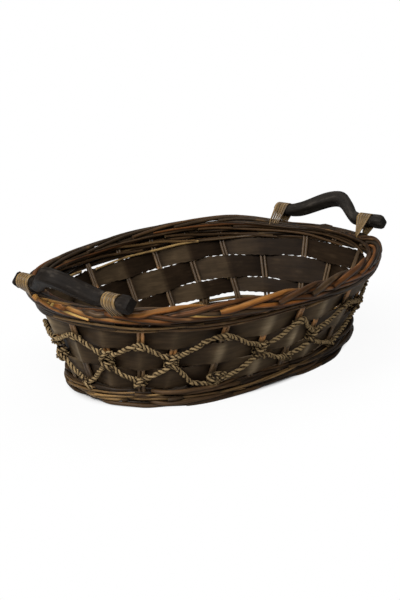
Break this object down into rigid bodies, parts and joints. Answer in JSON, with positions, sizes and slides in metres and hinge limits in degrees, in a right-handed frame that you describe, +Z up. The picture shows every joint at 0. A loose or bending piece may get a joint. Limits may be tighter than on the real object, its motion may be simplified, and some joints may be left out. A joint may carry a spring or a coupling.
{
  "type": "oval basket",
  "caption": "Oval open basket woven of chip splints on willow stakes, with a plaited border, a rope net outside and a bent bar handle tied to each end.",
  "frame": {"origin": "middle of the foot, on the surface that the basket stands on", "axes": "+X along the basket, from one handle to the other; +Z up"},
  "size_m": [0.4476, 0.3174, 0.1381],
  "materials": {
    "chip_wood": "dark grey-brown stained chip wood, fine lengthwise grain, satin",
    "willow_rod": "thin brown willow rods with bark, satin",
    "border_willow": "stained willow rods, red-brown, glossy varnish worn to tan",
    "rope": "twisted seagrass cord, matte",
    "handle_wood": "charcoal-stained bent wood, satin",
    "cane": "split cane, golden tan, semi-gloss"
  },
  "bodies": {
    "basket": {"floor_rods": "willow_rod", "floor_chip_1": "chip_wood", "floor_chip_2": "chip_wood", "floor_chip_3": "chip_wood", "floor_chip_4": "chip_wood", "floor_chip_5": "chip_wood", "stake_pair_1": "willow_rod", "stake_pair_2": "willow_rod", "stake_pair_3": "willow_rod", "stake_pair_4": "willow_rod", "stake_pair_5": "willow_rod", "stake_pair_6": "willow_rod", "stake_pair_7": "willow_rod", "stake_pair_8": "willow_rod", "stake_pair_9": "willow_rod", "stake_pair_10": "willow_rod", "stake_pair_11": "willow_rod", "stake_pair_12": "willow_rod", "stake_pair_13": "willow_rod", "stake_pair_14": "willow_rod", "stake_pair_15": "willow_rod", "stake_pair_16": "willow_rod", "stake_pair_17": "willow_rod", "stake_pair_18": "willow_rod", "stake_pair_19": "willow_rod", "stake_pair_20": "willow_rod", "stake_pair_21": "willow_rod", "stake_pair_22": "willow_rod", "stake_pair_23": "willow_rod", "stake_pair_24": "willow_rod", "foot_wale_1": "willow_rod", "foot_wale_2": "willow_rod", "foot_wale_3": "willow_rod", "foot_wale_4": "willow_rod", "foot_wale_5": "willow_rod", "splint_bottom": "chip_wood", "splint_middle": "chip_wood", "splint_top": "chip_wood", "top_wale_1": "willow_rod", "top_wale_2": "willow_rod", "border_strand_a": "border_willow", "border_strand_b": "border_willow", "rope_lower": "rope", "rope_upper": "rope", "rope_knots": "rope", "rope_end_knot": "rope", "lashing_left_front": "cane", "lashing_left_back": "cane", "lashing_right_front": "cane", "lashing_right_back": "cane"},
    "left_handle": {"handle_left": "handle_wood"},
    "right_handle": {"handle_right": "handle_wood"}
  },
  "joints": [
    {"name": "left_handle_swing", "type": "hinge", "parent": "basket", "child": "left_handle", "pos_m": [-0.198, 0, 0.1123], "axis": [0, -1, 0], "range_deg": [-48, 27]},
    {"name": "right_handle_swing", "type": "hinge", "parent": "basket", "child": "right_handle", "pos_m": [0.198, 0, 0.114], "axis": [0, 1, 0], "range_deg": [-48, 27]}
  ]
}
